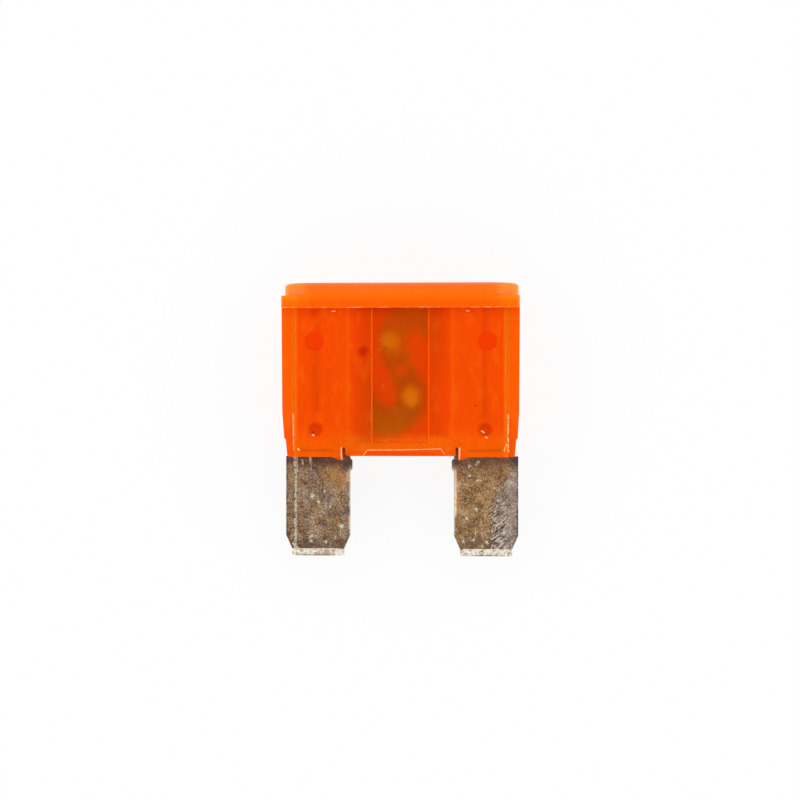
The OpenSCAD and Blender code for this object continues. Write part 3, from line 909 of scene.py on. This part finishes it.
def clean_tin(graph, noise):
    """Clean metal inside the housing, painted paler upwards to lift the crown's shadow, with a
    painted highlight on the bosses.
    """
    grained = graph.mix(graph.rise(noise.grain, 0.35, 0.65), CLEAN_DARK, CLEAN_PALE)
    paint = Paint(graph, grained)
    # Painted light that lifts the shadow under the crown
    paint.over(CLEAN_FILL_LIGHT, graph.rise(graph.y, *FILL_LIGHT_FADE))
    # Painted highlight on the bosses
    paint.over(BOSS_HIGHLIGHT, graph.discs(graph.flat, BOSSES, *BOSS_DISC))
    return paint.colour


def strip_metal():
    material, graph, out = new_material("strip_metal", FuseGraph)
    noise = graph.patterns(METAL_PATTERNS)
    on_right = graph.rise(graph.x, -1.0, 1.0)
    inside = graph.rise(graph.y, *INSIDE_HOUSING)
    paint, mauve = paint_tarnish(graph, noise, on_right)
    ridges = paint_scraped(graph, noise, paint, mauve)
    paint_copper_edge(graph, noise, paint)
    paint_burnt(graph, noise, on_right, paint)
    paint_dark_edges(graph, noise, paint)
    pale = paint_tin(graph, noise, paint)
    paint_tips(graph, noise, paint)
    paint.over(clean_tin(graph, noise), inside)

    relief = graph.add(
        noise.grain, graph.times(noise.fine, 0.5), graph.times(pale, 0.6),
        graph.times(ridges, 2.5))
    shader = graph.node("BsdfPrincipled")
    graph.put(paint.colour, shader.inputs["Base Color"])
    graph.put(graph.rise(inside, 0.0, 1.0, *METALLIC), shader.inputs["Metallic"])
    graph.put(graph.rise(pale, 0.0, 1.0, *METAL_ROUGHNESS), shader.inputs["Roughness"])
    graph.put(graph.bump(relief, *METAL_RELIEF), shader.inputs["Normal"])
    graph.put(shader.outputs[0], out.inputs["Surface"])
    return material


def assign(node, material):
    mesh = frame["nodes"][node].data
    mesh.materials.clear()
    mesh.materials.append(material)


# Camera, floor and light

def make_camera():
    """A camera straight over the fuse's front, turned a little as in the photograph."""
    data = bpy.data.cameras.new("camera")
    camera = bpy.data.objects.new("camera", data)
    bpy.context.scene.collection.objects.link(camera)
    data.sensor_width = SENSOR_WIDTH
    data.lens = SENSOR_WIDTH * PX_PER_MM * CAMERA_DISTANCE / PHOTO_PX
    data.clip_start, data.clip_end = CAMERA_RANGE_M
    turn = Matrix.Rotation(CAMERA_YAW, 4, "Y")
    back = turn @ Vector((0, 0, CAMERA_DISTANCE * MM))
    camera.matrix_world = FUSE @ Matrix.Translation(Vector(AIM) * MM + back) @ turn
    bpy.context.scene.camera = camera


def floor_material():
    """White where it is seen, with the fuse's shadow, and a pale paint to the light."""
    material, graph, out = new_material("floor", Graph)
    paint = graph.node("BsdfDiffuse")
    paint.inputs["Color"].default_value = (*FLOOR_COLOUR, 1)
    white = graph.node("Emission")
    path = graph.node("LightPath").outputs
    seen = graph.either(
        path["Is Camera Ray"], path["Is Glossy Ray"], path["Is Transmission Ray"])
    shown = graph.blend(graph.times(seen, FLOOR_WHITE), paint.outputs[0], white.outputs[0])
    graph.put(shown, out.inputs["Surface"])
    return material


def make_floor():
    half = FLOOR_HALF_WIDTH_M
    mesh = bpy.data.meshes.new("floor")
    corners = [(-half, -half, 0), (half, -half, 0), (half, half, 0), (-half, half, 0)]
    mesh.from_pydata(corners, [], [(0, 1, 2, 3)])
    mesh.materials.append(floor_material())
    floor = bpy.data.objects.new("floor", mesh)
    bpy.context.scene.collection.objects.link(floor)


def make_world():
    """Pale studio all round, dark straight above, where the photographer stood."""
    world = bpy.data.worlds.new("studio")
    world.use_nodes = True
    bpy.context.scene.world = world
    graph = Graph(world.node_tree)
    direction = graph.node("SeparateXYZ")
    graph.put(graph.node("TexCoord").outputs["Generated"], direction.inputs[0])
    height = direction.outputs[2]
    sky = graph.node("Background")
    sky.inputs["Color"].default_value = (1, 1, 1, 1)
    graph.put(
        graph.rise(height, *SKY_FADE, SKY_STRENGTH, ZENITH_STRENGTH), sky.inputs["Strength"])
    graph.put(sky.outputs[0], graph.node("OutputWorld").inputs["Surface"])


assign("housing", housing_plastic())
assign("fuse_element", strip_metal())
make_camera()
make_floor()
make_world()
bpy.context.scene.view_settings.view_transform = "Standard"
